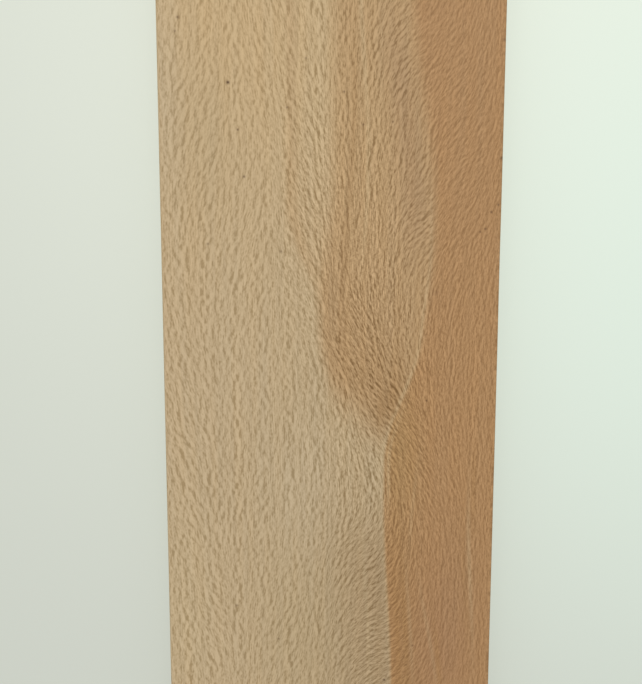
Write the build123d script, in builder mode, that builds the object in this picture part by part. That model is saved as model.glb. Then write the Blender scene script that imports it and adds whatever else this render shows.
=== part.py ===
"""A planed hardwood plank, one sawn piece of wood lying flat on its broad face.

Units are millimetres. X runs along the plank, Y runs across it and Z is up.
The origin is the middle of the broad face that the plank rests on.
"""

import os

from build123d import *

# Size of the surfaced stock: three quarters of an inch by four inches by three feet
THICKNESS = 19.05
WIDTH = 101.6
LENGTH = 914.4

# The four long arrises are eased after planing, so that they don't splinter
ARRIS_RADIUS = 0.8

# The saw's fuzz is taken off round both cut ends
END_CHAMFER = 0.3

os.makedirs("parts", exist_ok=True)

with BuildPart() as plank:
    # The planed section, standing on the ground plane at one cut end
    with BuildSketch(Plane.YZ.offset(-LENGTH / 2)):
        with Locations((0, THICKNESS / 2)):
            RectangleRounded(WIDTH, THICKNESS, ARRIS_RADIUS)
    extrude(amount=LENGTH)

    # Both crosscut ends, square to the length
    cut_ends = plank.faces().filter_by(Axis.X)
    chamfer(cut_ends.edges(), END_CHAMFER)

plank.part.label = "plank"
export_step(plank.part, "parts/plank.step")
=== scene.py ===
"""A planed hardwood plank with a ray-fleck figure, lying on a pale floor.

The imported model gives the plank's size and place. This file makes its surfaces: eased arrises,
crosscut ends and wood that is one solid pattern, so that faces, edges and ends belong together.
"""

import math

import bpy
from bpy.props import BoolProperty, FloatProperty, FloatVectorProperty, IntProperty, PointerProperty
from mathutils import Matrix, Vector


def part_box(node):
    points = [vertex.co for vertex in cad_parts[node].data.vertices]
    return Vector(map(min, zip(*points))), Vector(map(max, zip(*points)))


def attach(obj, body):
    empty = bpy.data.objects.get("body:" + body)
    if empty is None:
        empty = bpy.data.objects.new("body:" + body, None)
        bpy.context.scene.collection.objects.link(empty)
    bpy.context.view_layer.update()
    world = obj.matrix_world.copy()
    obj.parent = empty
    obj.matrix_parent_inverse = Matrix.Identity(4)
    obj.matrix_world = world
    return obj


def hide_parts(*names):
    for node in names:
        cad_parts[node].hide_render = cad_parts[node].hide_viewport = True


bl_info = {
    "name": "Hardwood Plank",
    "version": (1, 0, 0),
    "blender": (4, 5, 0),
    "location": "3D View > Sidebar > Plank",
    "description": "Makes a planed hardwood plank with a ray-fleck figure, and a stage for it",
    "category": "Add Mesh",
}

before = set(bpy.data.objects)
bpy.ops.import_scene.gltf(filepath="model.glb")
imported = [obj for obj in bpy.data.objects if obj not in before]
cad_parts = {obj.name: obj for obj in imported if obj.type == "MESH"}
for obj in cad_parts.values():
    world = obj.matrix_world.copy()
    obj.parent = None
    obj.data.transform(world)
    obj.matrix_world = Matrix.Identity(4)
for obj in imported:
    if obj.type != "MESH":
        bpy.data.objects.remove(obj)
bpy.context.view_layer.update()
PLANK_LOW, PLANK_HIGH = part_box("plank")
PLANK_SIZE = PLANK_HIGH - PLANK_LOW
TOP_HEIGHT = PLANK_HIGH.z

MM = 0.001
BAKE_UV = "OFBake"

# The picture's frame, and the plank's width and place on its middle row, in pixels
PICTURE_WIDTH = 642
PICTURE_HEIGHT = 684
PLANK_PIXELS = 335.1
PLANK_MIDDLE_PIXEL = 330.5


def srgb(red, green, blue):
    """An 8-bit screen colour as the linear one that Blender works with."""
    shares = (red / 255, green / 255, blue / 255)
    return tuple(s / 12.92 if s <= 0.04045 else ((s + 0.055) / 1.055) ** 2.4 for s in shares)


class PlankShape(bpy.types.PropertyGroup):
    length: FloatProperty(
        name="Length", description="Along the grain", default=PLANK_SIZE.x, unit="LENGTH"
    )
    width: FloatProperty(
        name="Width", description="Across the broad face", default=PLANK_SIZE.y, unit="LENGTH"
    )
    thickness: FloatProperty(
        name="Thickness", description="Between the broad faces", default=PLANK_SIZE.z, unit="LENGTH"
    )
    arris_radius: FloatProperty(
        name="Arris Radius", description="Easing of the four long corners", default=0.8 * MM,
        unit="LENGTH", precision=5,
    )
    end_chamfer: FloatProperty(
        name="End Chamfer", description="Easing round both cut ends", default=0.3 * MM,
        unit="LENGTH", precision=5,
    )
    edge_wander: FloatProperty(
        name="Edge Wander", description="Deepest hollow that planing left along the edges",
        default=0.12 * MM, unit="LENGTH", precision=5,
    )
    saw_ripple: FloatProperty(
        name="Saw Ripple", description="Deepest ripple of the crosscut ends", default=0.1 * MM,
        unit="LENGTH", precision=5,
    )
    rows_along: IntProperty(
        name="Rows Along", description="Mesh rows from end to end, an even number", default=300
    )
    seed: IntProperty(name="Seed", description="Picks the wander of the edges", default=7)


class WoodLook(bpy.types.PropertyGroup):
    sapwood: FloatVectorProperty(
        name="Sapwood", description="Pale outer wood", subtype="COLOR", size=3,
        default=srgb(189, 165, 128),
    )
    warm_sapwood: FloatVectorProperty(
        name="Warm Sapwood", description="Sapwood where it is creamy", subtype="COLOR", size=3,
        default=srgb(193, 165, 122),
    )
    shaded_sapwood: FloatVectorProperty(
        name="Shaded Sapwood", description="Sapwood as it nears the heartwood", subtype="COLOR",
        size=3, default=srgb(180, 157, 119),
    )
    grey_sapwood: FloatVectorProperty(
        name="Grey Sapwood", description="Sapwood with a cool grey stain", subtype="COLOR", size=3,
        default=srgb(167, 141, 105),
    )
    cool_sapwood: FloatVectorProperty(
        name="Cool Sapwood", description="Sapwood where it is least yellow", subtype="COLOR",
        size=3, default=srgb(189, 168, 134),
    )
    tongue: FloatVectorProperty(
        name="Tongue", description="The tongue of brown between sapwood and heartwood",
        subtype="COLOR", size=3, default=srgb(176, 143, 101),
    )
    pale_tongue: FloatVectorProperty(
        name="Pale Tongue", description="The brown tongue where it is palest", subtype="COLOR",
        size=3, default=srgb(181, 148, 104),
    )
    mauve: FloatVectorProperty(
        name="Mauve", description="The dull band beside the heartwood", subtype="COLOR", size=3,
        default=srgb(159, 126, 91),
    )
    umber: FloatVectorProperty(
        name="Umber", description="The darkest stain, at the tongue's tip", subtype="COLOR", size=3,
        default=srgb(149, 112, 67),
    )
    heartwood: FloatVectorProperty(
        name="Heartwood", description="Reddish brown inner wood", subtype="COLOR", size=3,
        default=srgb(170, 130, 86),
    )
    rosy_heartwood: FloatVectorProperty(
        name="Rosy Heartwood", description="Heartwood where it is pinker", subtype="COLOR",
        size=3, default=srgb(161, 121, 84),
    )
    olive_heartwood: FloatVectorProperty(
        name="Olive Heartwood", description="Heartwood where it is yellower", subtype="COLOR",
        size=3, default=srgb(163, 130, 80),
    )
    dark_heartwood: FloatVectorProperty(
        name="Dark Heartwood", description="Heartwood beside its boundary", subtype="COLOR",
        size=3, default=srgb(159, 119, 72),
    )
    pale_line: FloatVectorProperty(
        name="Pale Line", description="The thin unstained lines between the stains",
        subtype="COLOR", size=3, default=srgb(196, 173, 133),
    )
    # Also the colour of the painted shade in two nicks of the plank's edge
    speck: FloatVectorProperty(
        name="Speck", description="Pin knots and bark specks", subtype="COLOR", size=3,
        default=srgb(80, 50, 24),
    )
    fleck_height: FloatProperty(
        name="Fleck Height", description="Usual height of a ray along the grain",
        default=2.8 * MM, unit="LENGTH", precision=5,
    )
    fleck_spacing: FloatProperty(
        name="Fleck Spacing", description="From fleck to fleck across the broad face",
        default=1.95 * MM, unit="LENGTH", precision=5,
    )
    fleck_strength: FloatProperty(
        name="Fleck Strength", description="Contrast of the flecks", default=1.0, min=0, max=3
    )


class StageLook(bpy.types.PropertyGroup):
    floor_colour: FloatVectorProperty(
        name="Floor", description="Pale floor", subtype="COLOR", size=3,
        default=srgb(203, 207, 197),
    )
    lit_floor_colour: FloatVectorProperty(
        name="Lit Floor", description="Pale floor in the pool of light", subtype="COLOR", size=3,
        default=srgb(237, 242, 228),
    )
    cool_floor_colour: FloatVectorProperty(
        name="Cool Floor", description="Pale floor where its light is greener", subtype="COLOR",
        size=3, default=srgb(226, 250, 236),
    )
    world_strength: FloatProperty(
        name="Ambient", description="Even light from all round", default=0.7, min=0
    )
    lamp_power: FloatProperty(
        name="Lamp", description="Power of the soft lamp overhead", default=6.85, unit="POWER"
    )
    show_shadow: BoolProperty(
        name="Shadow", description="Let the floor carry the plank's shadow", default=True
    )
    lens: FloatProperty(name="Lens", description="Focal length", default=50.0, unit="CAMERA")
    tilt: FloatProperty(
        name="Tilt", description="How far the camera leans back along the plank",
        default=math.radians(8.26), subtype="ANGLE",
    )
    roll: FloatProperty(
        name="Roll", description="How far the camera turns about its line of sight",
        default=math.radians(0.055), subtype="ANGLE",
    )


class Term:
    """One output of a node, on which Python's operators add Math nodes."""

    def __init__(self, graph, socket):
        self.graph = graph
        self.socket = socket

    def math(self, operation, *others):
        """Any other Math node on this value."""
        return self.graph.math(operation, self, *others)

    def output(self, key):
        """Another output of the same node."""
        return Term(self.graph, pick(self.socket.node.outputs, key))

    def parts(self):
        """The X, Y and Z of a vector."""
        split = self.graph.add("ShaderNodeSeparateXYZ", None, {0: self})
        return [split.output(axis) for axis in ("X", "Y", "Z")]

    def __add__(self, other):
        return self.graph.math("ADD", self, other)

    def __radd__(self, other):
        return self.graph.math("ADD", other, self)

    def __sub__(self, other):
        return self.graph.math("SUBTRACT", self, other)

    def __rsub__(self, other):
        return self.graph.math("SUBTRACT", other, self)

    def __mul__(self, other):
        return self.graph.math("MULTIPLY", self, other)

    def __rmul__(self, other):
        return self.graph.math("MULTIPLY", other, self)

    def __truediv__(self, other):
        return self.graph.math("DIVIDE", self, other)

    def __rtruediv__(self, other):
        return self.graph.math("DIVIDE", other, self)

    def __neg__(self):
        return self.graph.math("MULTIPLY", self, -1.0)

    def __gt__(self, other):
        return self.graph.math("GREATER_THAN", self, other)

    def __lt__(self, other):
        return self.graph.math("LESS_THAN", self, other)


def pick(sockets, key):
    """A socket by its number, its identifier or its name."""
    if isinstance(key, int):
        return sockets[key]
    for socket in sockets:
        if socket.identifier == key:
            return socket
    return sockets[key]


class Graph:
    """A node tree that is written as expressions."""

    def __init__(self, tree):
        self.tree = tree

    def add(self, kind, settings=None, inputs=None, output=0):
        """A node with its settings made and its inputs filled; returns one of its outputs."""
        node = self.tree.nodes.new(kind)
        for name, value in (settings or {}).items():
            setattr(node, name, value)
        for key, value in (inputs or {}).items():
            socket = pick(node.inputs, key)
            if isinstance(value, Term):
                self.tree.links.new(value.socket, socket)
            else:
                socket.default_value = value
        return Term(self, pick(node.outputs, output)) if len(node.outputs) else node

    def math(self, operation, *values):
        """A Math node on values and numbers."""
        return self.add("ShaderNodeMath", {"operation": operation}, dict(enumerate(values)))

    def vector(self, x, y, z):
        """A vector of three values."""
        return self.add("ShaderNodeCombineXYZ", None, {0: x, 1: y, 2: z})

    def ease(self, value, start, end):
        """Rises smoothly from 0 at start to 1 at end."""
        return self.add(
            "ShaderNodeMapRange", {"interpolation_type": "SMOOTHSTEP"},
            {"Value": value, "From Min": start, "From Max": end},
        )

    def bell(self, value, middle, reach):
        """1 at the middle, and about a third of that at the reach."""
        away = (value - middle) / reach
        return (-(away * away)).math("EXPONENT")

    def spot(self, across, along, place, reach):
        """A bell in two directions, for shaders."""
        tree = bpy.data.node_groups.get("Spot") or build_spot()
        return self.add(
            "ShaderNodeGroup", {"node_tree": tree},
            {"Across": across, "Along": along, "Middle Across": place[0], "Middle Along": place[1],
             "Reach Across": reach[0], "Reach Along": reach[1]},
        )

    def blend(self, factor, first, second, way="MIX"):
        """A colour between two, or one laid over the other."""
        return self.add(
            "ShaderNodeMix", {"data_type": "RGBA", "blend_type": way},
            {"Factor_Float": factor, "A_Color": first, "B_Color": second}, "Result_Color",
        )

    def shade(self, colour, red, green, blue):
        """A colour whose red, green and blue are each multiplied by a share."""
        return self.blend(1.0, colour, self.vector(red, green, blue), "MULTIPLY")

    def noise(self, place, detail=2.0):
        """Cloudy noise about zero, mostly between -1 and 1, in clouds about one unit wide."""
        cloud = self.add(
            "ShaderNodeTexNoise", None,
            {"Vector": place, "Scale": 1.0, "Detail": detail, "Roughness": 0.5},
        )
        return (cloud - 0.5) * 4.0


def start_group(name, kind, output, inputs):
    """A new node group with its sockets; returns its graph and its inputs."""
    tree = bpy.data.node_groups.new(name, kind)
    tree.interface.new_socket(
        output[0], in_out="OUTPUT", socket_type="NodeSocket" + output[1]
    )
    for input_name, input_kind in inputs:
        tree.interface.new_socket(
            input_name, in_out="INPUT", socket_type="NodeSocket" + input_kind
        )
    graph = Graph(tree)
    return graph, graph.add("NodeGroupInput")


def build_spot():
    """A group of shader nodes: 1 at its middle, and about a third of that at its reach."""
    names = ("Across", "Along", "Middle Across", "Middle Along", "Reach Across", "Reach Along")
    graph, given = start_group(
        "Spot", "ShaderNodeTree", ("Spot", "Float"), [(name, "Float") for name in names]
    )
    across, along, middle_across, middle_along, reach_across, reach_along = (
        given.output(name) for name in names
    )
    x = (across - middle_across) / reach_across
    y = (along - middle_along) / reach_along
    graph.add("NodeGroupOutput", None, {0: (-(x * x + y * y)).math("EXPONENT")})
    return graph.tree


def empty_graph(owner):
    """Clears the nodes of a material or a world; returns the graph to fill."""
    owner.use_nodes = True
    owner.node_tree.nodes.clear()
    return Graph(owner.node_tree)


def paint(colour):
    """A colour with the alpha that node sockets ask for."""
    return (*colour, 1.0)


def add_object(name, data):
    """A new object in the scene that holds the data."""
    added = bpy.data.objects.new(name, data)
    bpy.context.scene.collection.objects.link(added)
    return added


# Geometry of the plank

# Rows of faces round half of an arris, and between the arrises over a broad face and an edge
ARRIS_STEPS = 3
ROWS_ACROSS = 34
ROWS_THROUGH = 10
# Between the strips of the plank on the sheet that a bake fills
UV_GAP = 1.0 * MM
# A face looks along an axis when this share of its normal does
FACING = 0.5
# Distances below this count as none
TINY = 1e-7
# Faces that meet at more than this show a sharp edge
CREASE_ANGLE = math.radians(30)

# The hollows of the edges: waves for each metre along and through, the step in the pattern from
# one edge to the other, and how far in from an edge they end
HOLLOW_WAVES_ALONG = 18.0
HOLLOW_WAVES_THROUGH = 12.0
HOLLOW_SIDE_STEP = 11.0
HOLLOW_BAND = 4 * MM

# The saw's arcs on the ends: radians of ripple for each millimetre up, and for each square
# millimetre across
SAW_TURN = 2.4
SAW_BEND = 0.004

PLANK_INPUTS = (
    ("Length", "Float"), ("Width", "Float"), ("Thickness", "Float"), ("Arris Radius", "Float"),
    ("End Chamfer", "Float"), ("Edge Wander", "Float"), ("Saw Ripple", "Float"),
    ("Rows Along", "Int"), ("Seed", "Int"), ("Material", "Material"),
)


def spread_rows(place, half, flat_rows, radius):
    """Moves evenly spaced rows, from -1 to 1, to their places on one side of the plank.

    The outer rows crowd into the arris, where steps of equal angle round it.
    """
    index = place.math("ABSOLUTE") * (flat_rows / 2 + ARRIS_STEPS)
    flat = (half - radius) * (index / (flat_rows / 2)).math("MINIMUM", 1.0)
    angle = ((index - flat_rows / 2) / ARRIS_STEPS).math("MAXIMUM", 0.0) * (math.pi / 4)
    return place.math("SIGN") * (flat + radius * angle.math("TANGENT"))


def box_in_rows(graph, rows_along, length, width, thickness, radius, chamfer):
    """A sharp-cornered box about the origin, with its rows where the eased shape needs them."""
    box = graph.add(
        "GeometryNodeMeshCube", None,
        {"Size": (2.0, 2.0, 2.0), "Vertices X": rows_along + 1,
         "Vertices Y": ROWS_ACROSS + 2 * ARRIS_STEPS + 1,
         "Vertices Z": ROWS_THROUGH + 2 * ARRIS_STEPS + 1},
    )
    unit_x, unit_y, unit_z = graph.add("GeometryNodeInputPosition").parts()
    index = unit_x.math("ABSOLUTE") * rows_along / 2
    inner = rows_along / 2 - 1
    flat = (length / 2 - chamfer) * (index / inner).math("MINIMUM", 1.0)
    x = unit_x.math("SIGN") * (flat + chamfer * (index - inner).math("MAXIMUM", 0.0))
    y = spread_rows(unit_y, width / 2, ROWS_ACROSS, radius)
    z = spread_rows(unit_z, thickness / 2, ROWS_THROUGH, radius)
    return graph.add(
        "GeometryNodeSetPosition", None, {"Geometry": box, "Position": graph.vector(x, y, z)}
    )


def strip_uv(graph, length, width, thickness):
    """Lays the box out as strips side by side, each half its length, with its two ends last."""
    place = graph.add("GeometryNodeInputPosition")
    on_face = {"data_type": "FLOAT_VECTOR", "domain": "FACE"}
    face_normal = graph.add(
        "GeometryNodeFieldOnDomain", on_face, {0: graph.add("GeometryNodeInputNormal")}
    )
    face_place = graph.add("GeometryNodeFieldOnDomain", on_face, {0: place})
    x, y, z = place.parts()
    nx, ny, nz = face_normal.parts()
    is_end = nx.math("ABSOLUTE") > FACING
    far_half = face_place.parts()[0] > 0.0

    # Four strips for the halves of the broad faces, four for those of the edges, one for the ends
    broad = width + UV_GAP
    narrow = thickness + UV_GAP
    edge_strips = 4 * broad
    end_strip = edge_strips + 4 * narrow
    sheet = end_strip + narrow
    along = x + length / 2 - far_half * (length / 2)
    across = y + width / 2
    up = z + thickness / 2
    u = along * (1 - is_end) + (across + (nx > FACING) * broad) * is_end
    v = (
        (nz > FACING) * (across + far_half * broad)
        + (nz < -FACING) * (across + (2 + far_half) * broad)
        + (ny < -FACING) * (up + edge_strips + far_half * narrow)
        + (ny > FACING) * (up + edge_strips + (2 + far_half) * narrow)
        + is_end * (up + end_strip)
    )
    margin = UV_GAP / 2
    return graph.vector((u + margin) / sheet, (v + margin) / sheet, 0.0)


def eased_section(y, z, width, thickness, radius):
    """Draws the section's corners in to the arris radius."""
    core_y = width / 2 - radius
    core_z = thickness / 2 - radius
    over_y = (y.math("ABSOLUTE") - core_y).math("MAXIMUM", 0.0)
    over_z = (z.math("ABSOLUTE") - core_z).math("MAXIMUM", 0.0)
    reach = (over_y * over_y + over_z * over_z).math("SQRT").math("MAXIMUM", TINY)
    in_arris = (over_y > TINY) * (over_z > TINY)
    pull = 1 + in_arris * (radius / reach - 1)
    return (
        y.math("SIGN") * (y.math("ABSOLUTE").math("MINIMUM", core_y) + over_y * pull),
        z.math("SIGN") * (z.math("ABSOLUTE").math("MINIMUM", core_z) + over_z * pull),
    )


def edge_hollow(graph, x, y, z, width, deepest, seed):
    """How far planing left the edges hollow, here and there; they are never proud."""
    side_step = y.math("SIGN") * HOLLOW_SIDE_STEP + seed
    wander = graph.noise(
        graph.vector(x * HOLLOW_WAVES_ALONG, side_step, z * HOLLOW_WAVES_THROUGH)
    )
    share = (wander * 0.5).math("MAXIMUM", 0.0).math("MINIMUM", 1.0)
    return deepest * share * graph.ease(y.math("ABSOLUTE"), width / 2 - HOLLOW_BAND, width / 2)


def build_plank_tree():
    """The geometry tree that makes the plank from its sizes."""
    graph, given = start_group(
        "Planed Plank", "GeometryNodeTree", ("Geometry", "Geometry"), PLANK_INPUTS
    )
    length, width, thickness, radius, chamfer = (
        given.output(name)
        for name in ("Length", "Width", "Thickness", "Arris Radius", "End Chamfer")
    )
    squared = box_in_rows(
        graph, given.output("Rows Along"), length, width, thickness, radius, chamfer
    )
    mapped = graph.add(
        "GeometryNodeStoreNamedAttribute", {"data_type": "FLOAT2", "domain": "CORNER"},
        {"Geometry": squared, "Name": BAKE_UV, "Value": strip_uv(graph, length, width, thickness)},
    )

    x, y, z = graph.add("GeometryNodeInputPosition").parts()
    round_y, round_z = eased_section(y, z, width, thickness, radius)
    hollow = edge_hollow(
        graph, x, y, z, width, given.output("Edge Wander"), given.output("Seed")
    )
    wavy_y = round_y - y.math("SIGN") * hollow

    # The end outline is drawn in by the chamfer, and the saw leaves shallow arcs on the end
    is_end = x.math("ABSOLUTE") > (length / 2 - chamfer / 2)
    end_y = wavy_y * (1 - is_end * chamfer * 2 / width)
    end_z = round_z * (1 - is_end * chamfer * 2 / thickness)
    arc = (y * y * SAW_BEND / (MM * MM) + z / MM * SAW_TURN).math("SINE")
    ripple = given.output("Saw Ripple") * (0.5 + 0.5 * arc) * is_end
    end_x = x - x.math("SIGN") * ripple
    shaped = graph.add(
        "GeometryNodeSetPosition", None,
        {"Geometry": mapped, "Position": graph.vector(end_x, end_y, end_z + thickness / 2)},
    )

    smooth = graph.add(
        "GeometryNodeSetShadeSmooth", None, {"Geometry": shaped, "Shade Smooth": True}
    )
    creased = graph.add(
        "GeometryNodeSetShadeSmooth", {"domain": "EDGE"},
        {"Geometry": smooth, "Shade Smooth": False,
         "Selection": graph.add("GeometryNodeInputMeshEdgeAngle") > CREASE_ANGLE},
    )
    real = graph.add("GeometryNodeRealizeInstances", None, {"Geometry": creased})
    done = graph.add(
        "GeometryNodeSetMaterial", None, {"Geometry": real, "Material": given.output("Material")}
    )
    graph.add("NodeGroupOutput", None, {0: done})
    return graph.tree


def make_mesh_from_tree(name, tree, settings):
    """Runs a geometry tree once and returns an object that holds its result as a plain mesh."""
    holder = add_object(name + "_tree", bpy.data.meshes.new(name + "_tree"))
    modifier = holder.modifiers.new("Shape", "NODES")
    modifier.node_group = tree
    for socket in tree.interface.items_tree:
        if socket.in_out == "INPUT" and socket.name in settings:
            modifier[socket.identifier] = settings[socket.name]
    bpy.context.view_layer.update()
    depsgraph = bpy.context.evaluated_depsgraph_get()
    mesh = bpy.data.meshes.new_from_object(holder.evaluated_get(depsgraph), depsgraph=depsgraph)
    mesh.name = name
    bpy.data.objects.remove(holder)
    return add_object(name, mesh)


# Wood, in millimetres

# The log's pith lies off the plank's heartwood side, below its broad face, so rays meet the face
# at a shallow slant and the growth rings stand steeply in it
PITH_ASIDE = 395.0
PITH_BELOW = 144.0
# How far apart the years' rings lie
YEAR_WIDTH = 3.4
# How much deeper than it is wide a ray runs towards the pith
RAY_DEPTH = 14.0
# How much further a streak of colour reaches along its year's ring than across it
STREAK_REACH = 6

# The figure of the tables below fades out between these distances from the plank's middle, and a
# figure made by noise takes its place
TABLE_FIGURE_ENDS = (100.0, 150.0)
# The look of the ends starts this far inside them, and is full at the second depth
END_SKIN = (0.4, 0.25)

# Where the heartwood's boundary and the brown tongue's left side lie: how far across, and then
# each shift across with the places along where it starts and ends
HEART_LINE = (
    16.5, (11.0, -38.0, 2.0), (3.0, -5.0, 30.0), (-7.2, 36.0, 108.0), (2.6, -50.0, -110.0),
)
TONGUE_LINE = (0.6, (-3.8, 50.0, 12.0), (3.5, 5.0, -22.0))
# How far the heartwood's boundary wanders beyond the tables, how long its waves are, and which
# part of the noise they follow
HEART_WANDER = 9.0
HEART_WAVE = 190.0
HEART_PATTERN = 3.7

# Where the fibres swing aside: across, along, reach across, reach along, and degrees of lean
SWINGS = (
    (5, 2, 8, 14, -26), (16, -22, 11, 20, -36), (27, -34, 9, 14, -20),
    (15, -97, 11, 27, 66), (9, -64, 10, 12, 32),
    (24, 90, 12, 28, 36), (39, 55, 11, 42, 36), (26, 35, 6, 15, 42),
    (-7, 32, 8, 34, -22), (-15, 85, 14, 30, -11),
    (-39, 60, 8, 35, 14), (-25, 35, 6, 22, 14),
    (-44, -30, 8, 45, -15), (-36, -90, 6, 20, -14), (-15, -95, 11, 35, 13),
    (32, -104, 12, 18, 18), (32, -50, 8, 14, -16),
)
# Degrees of lean beyond the tables
FAR_LEAN = 32

# Where the flecks stand closer, and where they are bolder: across, along, reach across, reach
# along and share
CLOSE_FLECKS = ((8, 25, 20, 45, 1.0), (14, -108, 12, 28, 1.0), (12, -45, 14, 25, 0.5))
BOLD_FLECKS = (
    (14, 0, 15, 90, 0.75), (-6, 40, 9, 40, 0.45), (12, 2, 10, 24, 0.30),
    (13, -110, 12, 25, 0.25), (-35, 80, 20, 40, -0.15),
)

# Soft stains: colour, across, along, reach across, reach along and share
SAPWOOD_STAINS = (
    ("pale_line", -46, -88, 9, 32, 0.5), ("shaded_sapwood", -9, -90, 14, 30, 0.55),
    ("shaded_sapwood", -38, 60, 9, 22, 0.45), ("cool_sapwood", -8, -45, 12, 22, 0.6),
    ("cool_sapwood", -49, 75, 5, 40, 0.6),
)
TONGUE_STAINS = (
    ("umber", 6, -8, 8, 15, 0.14), ("umber", 15, -8, 5, 9, 0.3),
)
HEARTWOOD_STAINS = (
    ("rosy_heartwood", 35, -100, 12, 36, 0.7), ("olive_heartwood", 21, -34, 7, 24, 0.5),
)

# Thin lines along the grain: colour, how far past the heartwood's boundary they lie and how much
# further for each millimetre along, the middle and the reach along, half the width, and the share
LINES = (
    ("pale_line", -0.6, 0.0, -5, 45, 0.55, 0.3), ("pale_line", 0.0, 0.0, -85, 40, 0.5, 0.3),
    ("pale_line", 1.4, 0.0, -38, 14, 0.6, 0.3), ("pale_line", -6.6, 0.0, -85, 35, 0.6, 0.2),
    ("dark_heartwood", 3.6, 0.0, -45, 18, 0.9, 0.15),
    ("dark_heartwood", 2.8, 0.0, -95, 30, 0.9, 0.5),
    ("dark_heartwood", 5.2, 0.0, -92, 28, 0.9, 0.6),
    ("pale_line", 6.8, -0.02, -92, 22, 0.6, 0.15), ("pale_line", 12.7, -0.13, -95, 18, 0.6, 0.17),
    ("dark_heartwood", 15.2, -0.06, -103, 16, 0.8, 0.5),
    ("pale_line", 9.0, 0.1, -52, 16, 0.6, 0.15), ("pale_line", 26.2, 0.0, -72, 24, 0.6, 0.25),
    ("dark_heartwood", 27.6, 0.0, -45, 14, 1.0, 0.4),
    ("dark_heartwood", 24.6, 0.0, -78, 20, 0.8, 0.3),
)

# Dark specks on the broad face, and two spots of painted shade where its edge is nicked: across,
# along, radius and how dark
SPECKS_AND_NICK_SHADE = (
    (-30.1, 76.5, 0.48, 1), (-12.9, 69.4, 0.36, 0.56), (-27.4, 63.0, 0.36, 0.62),
    (-25.7, 49.4, 0.4, 0.69), (-44.4, 94.8, 0.4, 0.62), (-45.3, 90.9, 0.36, 0.5),
    (3.8, 73.9, 0.34, 0.56), (9.4, 64.5, 0.36, 0.5), (18.2, 65.3, 0.34, 0.5),
    (-7.3, 83.4, 0.3, 0.5), (-14.9, 27.3, 0.38, 0.5), (-36.7, 29.6, 0.36, 0.5),
    (47.7, 39.1, 0.36, 0.7), (46.1, 34.1, 0.36, 0.62), (44.6, 33.2, 0.32, 0.56),
    (49.8, 41.2, 0.36, 0.62), (29.4, -18.1, 0.3, 0.7), (-29.4, -84.1, 0.36, 0.56),
    (-16.2, -95.2, 0.36, 0.5), (17.4, -109.1, 0.4, 0.85), (26.3, -97.5, 0.36, 0.5),
    (24.4, -104.0, 0.3, 0.4), (31.8, 14.9, 1, 0.2),
    # These two are painted shade: dark spots where nicks in the edge would lie in shadow
    (50.4, 54.9, 0.5, 0.6), (50.3, 88.6, 0.45, 0.5),
)
# How deep these specks go
SPECK_DEPTH = 1.0
# Beyond the tables a speck lies in each cell this far across, along and round the rings
SPECK_CELL = (9.0, 13.0, 60.0)

# Places on either side, along the fibres, over which the noise of the rays is averaged
FIBRE_TAPS = 3
# The width of a row of flecks as a share of the gap between rows, and how much of the noise beside
# a row is taken off it, which keeps the gaps open
ROW_WIDTH = 0.3
NEIGHBOUR_SHARE = 0.38
# The gap between the rows where flecks stand closer, as a share of the usual one
CLOSE_GAP = 0.68
# The fine flecks' width and height, as shares of the usual gap and reach
FINE_WIDTH = 0.19
FINE_HEIGHT = 0.35
# The lightest and darkest that a fleck can be
FLECK_LIMIT = 2.5
# How much a fleck of strength 1 changes the wood's red, green and blue
FLECK_SHADES = (0.085, 0.098, 0.125)

FIBRE_INPUTS = (
    ("Place", "Vector"), ("Fibre", "Vector"), ("Across", "Vector"),
    ("Aside", "Float"), ("Width", "Float"), ("Length", "Float"),
)


class Wood:
    """The terms that every part of the wood is written with, all in millimetres."""

    def __init__(self, graph):
        self.graph = graph
        x, y, z = graph.add("ShaderNodeTexCoord", None, None, "Object").parts()
        self.along = x / MM
        self.across = -y / MM
        self.depth = (z - TOP_HEIGHT) / MM
        aside = PITH_ASIDE - self.across
        below = PITH_BELOW + self.depth
        pith_range = math.hypot(PITH_ASIDE, PITH_BELOW)
        radius = (aside * aside + below * below).math("SQRT")
        turn = below.math("ARCTAN2", aside) - math.atan2(PITH_BELOW, PITH_ASIDE)
        # Both follow the rings and rays through the plank, and nearly equal across on its top face
        self.ring = (pith_range - radius) * (pith_range / PITH_ASIDE)
        self.ray = turn * (pith_range * pith_range / PITH_BELOW)
        from_middle = self.along.math("ABSOLUTE")
        self.shown = 1 - graph.ease(from_middle, *TABLE_FIGURE_ENDS)
        end = PLANK_HIGH.x / MM
        self.at_end = graph.ease(from_middle, end - END_SKIN[0], end - END_SKIN[1])

    def spot(self, place, reach):
        """A bell round a place in the figure, across and along."""
        return self.graph.spot(self.ring, self.along, place, reach)

    def spots(self, table):
        """The spots of a table added up."""
        total = None
        for across, along, reach_across, reach_along, share in table:
            one = share * self.spot((across, along), (reach_across, reach_along))
            total = one if total is None else total + one
        return total

    def clouds(self, across, along, place, detail=1.0):
        """Noise about zero, in clouds this far across and along; the place picks its pattern."""
        return self.graph.noise(
            self.graph.vector(self.ring / across, self.along / along, place), detail
        )

    def streaks(self, spacing, length, detail=2.0):
        """Noise drawn out along the grain, about zero."""
        return self.clouds(spacing, length, self.ray / (spacing * STREAK_REACH), detail)

    def line(self, across, *shifts):
        """How far across a line lies that shifts sideways along the plank."""
        for shift, start, end in shifts:
            across = across + shift * self.graph.ease(self.along, start, end)
        return across


def heart_line(wood):
    """How far across the heartwood's boundary lies, along the plank."""
    wander = wood.graph.noise(
        wood.graph.vector(wood.along / HEART_WAVE, HEART_PATTERN, 0.0), 1.0
    )
    return wood.line(*HEART_LINE) + HEART_WANDER * wander * (1 - wood.shown)


def stain(wood, look, colour, table):
    """Lays a table's soft stains over a colour."""
    for name, across, along, reach_across, reach_along, share in table:
        mark = share * wood.spot((across, along), (reach_across, reach_along)) * wood.shown
        colour = wood.graph.blend(mark, colour, paint(getattr(look, name)))
    return colour


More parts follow.
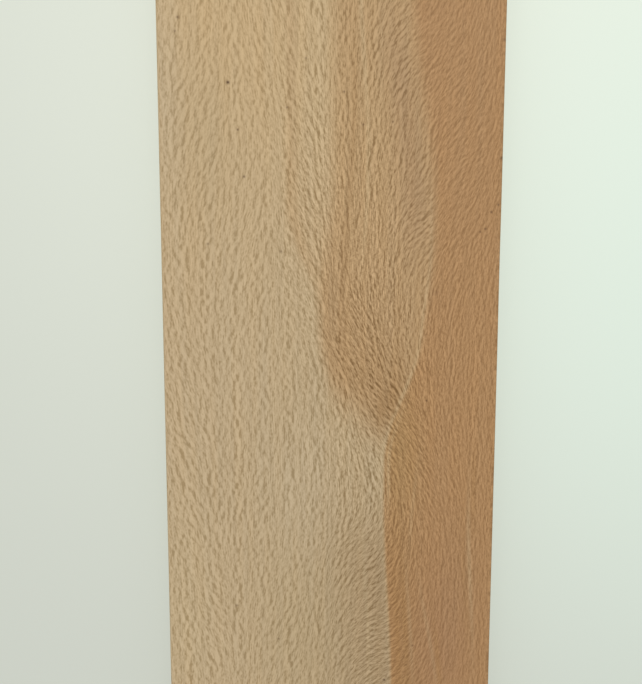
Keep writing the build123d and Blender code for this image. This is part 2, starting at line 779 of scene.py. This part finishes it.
def stained_sapwood(wood, look, line):
    """The sapwood, with its grey stain beside the heartwood."""
    along, ring, shown = wood.along, wood.ring, wood.shown
    ease, bell, blend = wood.graph.ease, wood.graph.bell, wood.graph.blend
    far = 1 - shown
    colour = blend(
        ease(along, -20.0, 100.0) * shown, paint(look.sapwood), paint(look.warm_sapwood)
    )
    shaded = 0.5 * ease(ring, -35.0, 5.0) * (1 - 0.55 * ease(along, -20.0, 40.0))
    colour = blend(shaded, colour, paint(look.shaded_sapwood))

    # Beyond the tables the brown comes and goes beside the heartwood, and cream in the rest
    brown = ease(wood.clouds(16.0, 150.0, 1.3, 2.0), 0.0, 1.2)
    colour = blend(far * bell(ring - line, -12.0, 16.0) * brown, colour, paint(look.tongue))
    cream = ease(wood.clouds(25.0, 120.0, 8.1), -0.6, 0.6)
    colour = blend(far * cream, colour, paint(look.warm_sapwood))

    grey = (
        0.45 * ease(ring, -14.0, 4.0) * ease(along, -20.0, -65.0)
        + 0.55 * ease(ring, -4.0, 14.0) * ease(along, -45.0, -75.0)
    )
    colour = blend(grey * shown, colour, paint(look.grey_sapwood))

    # A faint streak comes down from the left and joins the tongue's side
    past = ring + 13.0 - 10.5 * ease(along, 42.0, 5.0)
    veil = 0.3 * ease(past, -4.0, 2.5) * ease(along, 70.0, 20.0) * ease(along, 0.0, 25.0)
    colour = blend(veil * shown, colour, paint(look.tongue))
    streak = ease(past, -1.2, 1.0) * ease(past, 4.5, 1.0) * ease(along, 5.0, 35.0)
    colour = blend(0.45 * streak * shown, colour, paint(look.pale_tongue))
    return stain(wood, look, colour, SAPWOOD_STAINS)


def brown_tongue(wood, look, colour, line):
    """Lays the brown tongue over the sapwood, with its lines and its dark tip."""
    graph, along, ring, shown = wood.graph, wood.along, wood.ring, wood.shown
    ease, bell, blend = graph.ease, graph.bell, graph.blend
    softness = 2.6 + 1.2 * ease(along, 20.0, 60.0)
    tip = ease(along + 0.9 * (ring - 12.0), -36.0, -16.0)
    inside = ease((ring - wood.line(*TONGUE_LINE)) / softness, -1.0, 1.0) * tip * shown
    brown = blend(ease(along, 0.0, 70.0), paint(look.tongue), paint(look.pale_tongue))
    colour = blend(inside, colour, brown)

    # The dull band beside the heartwood, the thin red line, the dark tip and the pale line inside
    mauve = 0.5 * bell(ring - line, -5.5, 5.0) * ease(along, 15.0, 45.0) * ease(along, 115.0, 75.0)
    colour = blend(mauve * shown, colour, paint(look.mauve))
    red_place = ring - 4.0 * ease(along, 5.0, 75.0)
    red_line = 0.3 * bell(red_place, 3.0, 0.9) * ease(along, -20.0, 15.0)
    dark = (
        0.5 * graph.spot(ring - line, along, (-4.4, -19.0), (3.8, 11.0))
        + red_line * ease(along, 95.0, 75.0)
    )
    colour = blend(dark * shown, colour, paint(look.umber))
    inner = bell(ring - 4.0 * bell(along, 55.0, 45.0), 7.0, 0.7) * ease(along, 12.0, 40.0)
    colour = blend(0.28 * inner * shown, colour, paint(look.pale_line))
    return stain(wood, look, colour, TONGUE_STAINS)


def colour_zones(wood, look):
    """The wood's colour before its flecks, and how much of it is heartwood."""
    graph, along = wood.graph, wood.along
    line = heart_line(wood)
    away = wood.ring - line
    softness = 0.7 + 2.4 * graph.ease(along, -35.0, 40.0)
    heart = graph.ease(away / softness, -1.0, 1.0)

    outer_wood = brown_tongue(wood, look, stained_sapwood(wood, look, line), line)
    beside = 0.6 * graph.bell(away, 4.0, 7.0) * graph.ease(along, -45.0, -90.0)
    inner_wood = graph.blend(beside, paint(look.heartwood), paint(look.dark_heartwood))
    inner_wood = stain(wood, look, inner_wood, HEARTWOOD_STAINS)
    colour = graph.blend(heart, outer_wood, inner_wood)
    for name, past, slope, middle, reach, half_width, share in LINES:
        if slope:
            past = past + slope * (along - middle)
        mark = share * graph.spot(away, along, (past, middle), (half_width, reach)) * wood.shown
        colour = graph.blend(mark, colour, paint(getattr(look, name)))
    return colour, heart


def grain_lean(wood):
    """How far the fibres lean from the plank's length: in radians, and positive to the right."""
    elsewhere = FAR_LEAN * wood.clouds(30.0, 60.0, 5.0) * (1 - wood.shown)
    return math.radians(1) * (wood.spots(SWINGS) * wood.shown + elsewhere)


def build_fibre_noise():
    """A group of shader nodes: noise averaged along the leaning fibres."""
    graph, given = start_group(
        "Fibre Noise", "ShaderNodeTree", ("Noise", "Float"), FIBRE_INPUTS
    )
    width = given.output("Width")
    multiply_add = {"operation": "MULTIPLY_ADD"}
    moved = graph.add(
        "ShaderNodeVectorMath", multiply_add,
        {0: given.output("Across"), 1: given.output("Aside"), 2: given.output("Place")},
    )
    start = graph.add("ShaderNodeVectorMath", {"operation": "DIVIDE"}, {0: moved, 1: width})
    reach = given.output("Length") / width
    total = None
    for tap in range(-FIBRE_TAPS, FIBRE_TAPS + 1):
        share = tap / FIBRE_TAPS
        place = graph.add(
            "ShaderNodeVectorMath", multiply_add,
            {0: given.output("Fibre"), 1: reach * share, 2: start},
        )
        blot = graph.noise(place, 0.0) * math.exp(-2.0 * share * share)
        total = blot if total is None else total + blot
    graph.add("NodeGroupOutput", None, {0: total})
    return graph.tree


def ray_flecks(wood, look, heart):
    """The rays that the faces cut through: about zero, below it in a ray and above it between."""
    graph = wood.graph
    lean = grain_lean(wood)
    sine = lean.math("SINE")
    cosine = lean.math("COSINE")
    tree = build_fibre_noise()
    spacing = look.fleck_spacing / MM
    length = look.fleck_height / MM / 2

    def drawn(aside, width, reach):
        """Noise drawn out along the fibres, this wide and long, from a place this far aside."""
        return graph.add(
            "ShaderNodeGroup", {"node_tree": tree},
            {"Place": graph.vector(wood.ray, wood.along, wood.ring / RAY_DEPTH),
             "Fibre": graph.vector(sine, cosine, 0.0), "Across": graph.vector(cosine, -sine, 0.0),
             "Aside": aside, "Width": width, "Length": reach},
        )

    def rows(gap):
        """Flecks in rows with this gap between them."""
        width = ROW_WIDTH * gap
        beside = drawn(gap / 2, width, length) + drawn(-gap / 2, width, length)
        return drawn(0.0, width, length) - NEIGHBOUR_SHARE * beside

    fine = drawn(0.0, FINE_WIDTH * spacing, FINE_HEIGHT * length)
    # Where the flecks stand closer, the usual rows are fainter and closer ones lie among them
    close = (wood.spots(CLOSE_FLECKS) + 0.8 * heart).math("MINIMUM", 1.0)
    flecks = (
        rows(spacing) * (1.1 - 0.4 * close) + rows(CLOSE_GAP * spacing) * 0.9 * close
        + fine * (0.55 + 0.1 * close)
    )
    limited = (flecks * 1.06).math("MAXIMUM", -FLECK_LIMIT).math("MINIMUM", FLECK_LIMIT)
    # The dark of the rays is stronger than the light between them
    return limited - (0.13 - 0.12 * close) * limited * limited


def specks(wood):
    """Pin knots, bark specks and the painted shade of two edge nicks: the broad face's own, and
    others scattered beyond the tables.
    """
    graph = wood.graph
    found = None
    for across, along, radius, darkness in SPECKS_AND_NICK_SHADE:
        one = darkness * graph.spot(wood.across, wood.along, (across, along), (radius, radius))
        found = one if found is None else found + one
    on_face = found * (wood.depth > -SPECK_DEPTH)
    across, along, around = SPECK_CELL
    cell = graph.vector(wood.ring / across, wood.along / along, wood.ray / around)
    near = graph.add("ShaderNodeTexVoronoi", None, {"Vector": cell, "Scale": 1.0}, "Distance")
    return on_face + 0.8 * graph.ease(near, 0.05, 0.02) * (1 - wood.shown)


def year_lines(wood):
    """The dense wood at the close of each year's ring, 1 in its darkest part."""
    wander = wood.clouds(40.0, 300.0, wood.ray / 300.0)
    year = (wood.ring / YEAR_WIDTH + 1.2 * wander).math("FRACT")
    # It darkens slowly from the middle of the year, and ends at once
    return wood.graph.ease(year, 0.55, 0.93) * wood.graph.ease(year, 1.0, 0.95)


def make_wood(look):
    """The planed, unfinished wood."""
    material = bpy.data.materials.new("planed_wood")
    graph = empty_graph(material)
    wood = Wood(graph)
    colour, heart = colour_zones(wood, look)

    strength = look.fleck_strength * (
        1.0 + wood.spots(BOLD_FLECKS) + 0.15 * heart * graph.bell(wood.along, -15.0, 50.0)
        - 0.10 * heart * graph.ease(wood.along, -60.0, -100.0)
    )
    tone = ray_flecks(wood, look, heart) * strength
    colour = graph.shade(colour, *(1.0 + tone * share for share in FLECK_SHADES))

    # Fine streaks of light and dark along the grain, and broader ones from warm to cool
    fine = wood.streaks(0.45, 9.0) * 0.02 + wood.streaks(1.9, 45.0) * 0.025
    cast = wood.streaks(3.1, 60.0, 1.0) * 0.02
    colour = graph.shade(colour, 1 + fine + 0.6 * cast, 1 + fine, 1 + fine - cast)
    # Specks, and the painted shade of two nicks in the edge, laid over the wood
    colour = graph.blend(specks(wood).math("MINIMUM", 1.0), colour, paint(look.speck))

    # The years' lines are faint on the faces and clear on the ends, which are also darker
    late = year_lines(wood)
    level = 1 - late * (0.025 + 0.14 * wood.at_end) - 0.2 * wood.at_end
    colour = graph.shade(colour, level, level, level - 0.05 * wood.at_end)

    bump = graph.add(
        "ShaderNodeBump", None,
        {"Strength": 0.15, "Distance": 0.2 * MM, "Height": wood.streaks(0.35, 5.0)},
    )
    surface = graph.add(
        "ShaderNodeBsdfPrincipled", None,
        {"Base Color": colour, "Roughness": 0.58, "Normal": bump, "Specular IOR Level": 0.35},
    )
    graph.add("ShaderNodeOutputMaterial", None, {"Surface": surface})
    return material


class PLANK_OT_board(bpy.types.Operator):
    """Makes the planed board with its wood"""

    bl_idname = "plank.board"
    bl_label = "Board"

    def execute(self, context):
        shape = context.scene.plank_shape
        board = make_mesh_from_tree(
            "board", build_plank_tree(),
            {"Length": shape.length, "Width": shape.width, "Thickness": shape.thickness,
             "Arris Radius": shape.arris_radius, "End Chamfer": shape.end_chamfer,
             "Edge Wander": shape.edge_wander, "Saw Ripple": shape.saw_ripple,
             "Rows Along": shape.rows_along, "Seed": shape.seed,
             "Material": make_wood(context.scene.wood_look)},
        )
        if not board.data.polygons:
            raise RuntimeError("the board's geometry tree made no faces")
        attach(board, "root")
        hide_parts("plank")
        return {"FINISHED"}


# Stage

FLOOR_REACH = 5.0
# Pools of light on the floor: colour, place along and across, reach and share
POOLS = (
    ("lit_floor_colour", 0.14, -0.06, 0.21, 1.0), ("cool_floor_colour", 0.02, -0.15, 0.14, 0.45),
)
# How much of the light and shadow that falls on the floor shows there
SHADOW_SHARE = 0.35
LAMP_PLACE = Vector((0.8, 0.05, 1.1))
LAMP_SIDE = 0.9
# How near a thing may come to the camera and still be seen
NEAREST_SEEN = 0.01


def seen_ray(graph):
    """1 for rays that show a surface to the camera, straight or by way of gloss or glass."""
    path = graph.add("ShaderNodeLightPath")
    seen = path.output("Is Camera Ray") + path.output("Is Glossy Ray")
    return (seen + path.output("Is Transmission Ray")).math("MINIMUM", 1.0)


def make_floor_material(stage):
    """A pale floor that looks its own colour to the camera and keeps part of the shadow."""
    material = bpy.data.materials.new("pale_floor")
    graph = empty_graph(material)
    floor_x, floor_y, _ = graph.add("ShaderNodeTexCoord", None, None, "Object").parts()
    colour = paint(stage.floor_colour)
    for name, x, y, reach, share in POOLS:
        pool = share * graph.spot(floor_x, floor_y, (x, y), (reach, reach))
        colour = graph.blend(pool, colour, paint(getattr(stage, name)))
    lit = graph.add("ShaderNodeBsdfDiffuse", None, {"Color": colour})
    glow = graph.add("ShaderNodeEmission", None, {"Color": colour})
    glow_share = 1 - SHADOW_SHARE if stage.show_shadow else 1.0
    mixed = graph.add(
        "ShaderNodeMixShader", None, {0: seen_ray(graph) * glow_share, 1: lit, 2: glow}
    )
    graph.add("ShaderNodeOutputMaterial", None, {"Surface": mixed})
    return material


def make_floor(stage):
    """A level floor under the plank."""
    reach = FLOOR_REACH
    corners = [(-reach, -reach, 0), (reach, -reach, 0), (reach, reach, 0), (-reach, reach, 0)]
    mesh = bpy.data.meshes.new("floor")
    mesh.from_pydata(corners, [], [(0, 1, 2, 3)])
    mesh.materials.append(make_floor_material(stage))
    floor = add_object("floor", mesh)


def make_world(stage):
    """Even white light from all round, which the camera sees as the floor's colour."""
    world = bpy.data.worlds.new("studio")
    bpy.context.scene.world = world
    graph = empty_graph(world)
    light = graph.add(
        "ShaderNodeBackground", None,
        {"Color": paint((1.0, 1.0, 1.0)), "Strength": stage.world_strength},
    )
    view = graph.add("ShaderNodeBackground", None, {"Color": paint(stage.floor_colour)})
    mixed = graph.add("ShaderNodeMixShader", None, {0: seen_ray(graph), 1: light, 2: view})
    graph.add("ShaderNodeOutputWorld", None, {"Surface": mixed})


def make_lamp(stage):
    """One large soft lamp overhead, a little towards the top of the picture."""
    data = bpy.data.lights.new("soft_lamp", "AREA")
    data.shape = "SQUARE"
    data.size = LAMP_SIDE
    data.energy = stage.lamp_power
    lamp = add_object("soft_lamp", data)
    aim = Vector((0.0, 0.0, TOP_HEIGHT)) - LAMP_PLACE
    lamp.location = LAMP_PLACE
    lamp.rotation_euler = aim.to_track_quat("-Z", "Y").to_euler()


def make_camera(stage):
    """Looks down on the plank's broad face, as near as the photograph was taken."""
    data = bpy.data.cameras.new("camera")
    data.lens = stage.lens
    data.clip_start = NEAREST_SEEN
    focal_pixels = stage.lens / data.sensor_width * PICTURE_HEIGHT
    distance = focal_pixels * PLANK_SIZE.y / PLANK_PIXELS
    pixel = distance / focal_pixels
    aside = (PLANK_MIDDLE_PIXEL - PICTURE_WIDTH / 2) * pixel
    forward = Vector((-math.sin(stage.tilt), 0.0, -math.cos(stage.tilt)))
    level_up = Vector((math.cos(stage.tilt), 0.0, -math.sin(stage.tilt)))
    up = Matrix.Rotation(-stage.roll, 3, forward) @ level_up
    right = forward.cross(up)
    aim = Vector((0.0, 0.0, TOP_HEIGHT)) - right * aside
    turn = Matrix((right, up, -forward)).transposed()
    camera = add_object("camera", data)
    camera.matrix_world = Matrix.Translation(aim - forward * distance) @ turn.to_4x4()
    bpy.context.scene.camera = camera


class PLANK_OT_stage(bpy.types.Operator):
    """Makes the floor, the light and the camera"""

    bl_idname = "plank.stage"
    bl_label = "Stage"

    def execute(self, context):
        stage = context.scene.plank_stage
        make_floor(stage)
        make_world(stage)
        make_lamp(stage)
        make_camera(stage)
        context.scene.view_settings.view_transform = "Standard"
        return {"FINISHED"}


class PLANK_PT_panel(bpy.types.Panel):
    bl_label = "Plank"
    bl_idname = "PLANK_PT_panel"
    bl_space_type = "VIEW_3D"
    bl_region_type = "UI"
    bl_category = "Plank"

    def draw(self, context):
        scene = context.scene
        for title, group, operator in (
            ("Shape", scene.plank_shape, None),
            ("Wood", scene.wood_look, PLANK_OT_board.bl_idname),
            ("Stage", scene.plank_stage, PLANK_OT_stage.bl_idname),
        ):
            box = self.layout.box()
            box.label(text=title)
            for name in group.bl_rna.properties.keys():
                if name not in ("rna_type", "name"):
                    box.prop(group, name)
            if operator:
                box.operator(operator)


CLASSES = (PlankShape, WoodLook, StageLook, PLANK_OT_board, PLANK_OT_stage, PLANK_PT_panel)


def register():
    for cls in CLASSES:
        bpy.utils.register_class(cls)
    bpy.types.Scene.plank_shape = PointerProperty(type=PlankShape)
    bpy.types.Scene.wood_look = PointerProperty(type=WoodLook)
    bpy.types.Scene.plank_stage = PointerProperty(type=StageLook)


def unregister():
    del bpy.types.Scene.plank_stage
    del bpy.types.Scene.wood_look
    del bpy.types.Scene.plank_shape
    for cls in reversed(CLASSES):
        bpy.utils.unregister_class(cls)


def main():
    register()
    bpy.ops.plank.stage()
    bpy.ops.plank.board()


if __name__ == "__main__":
    main()
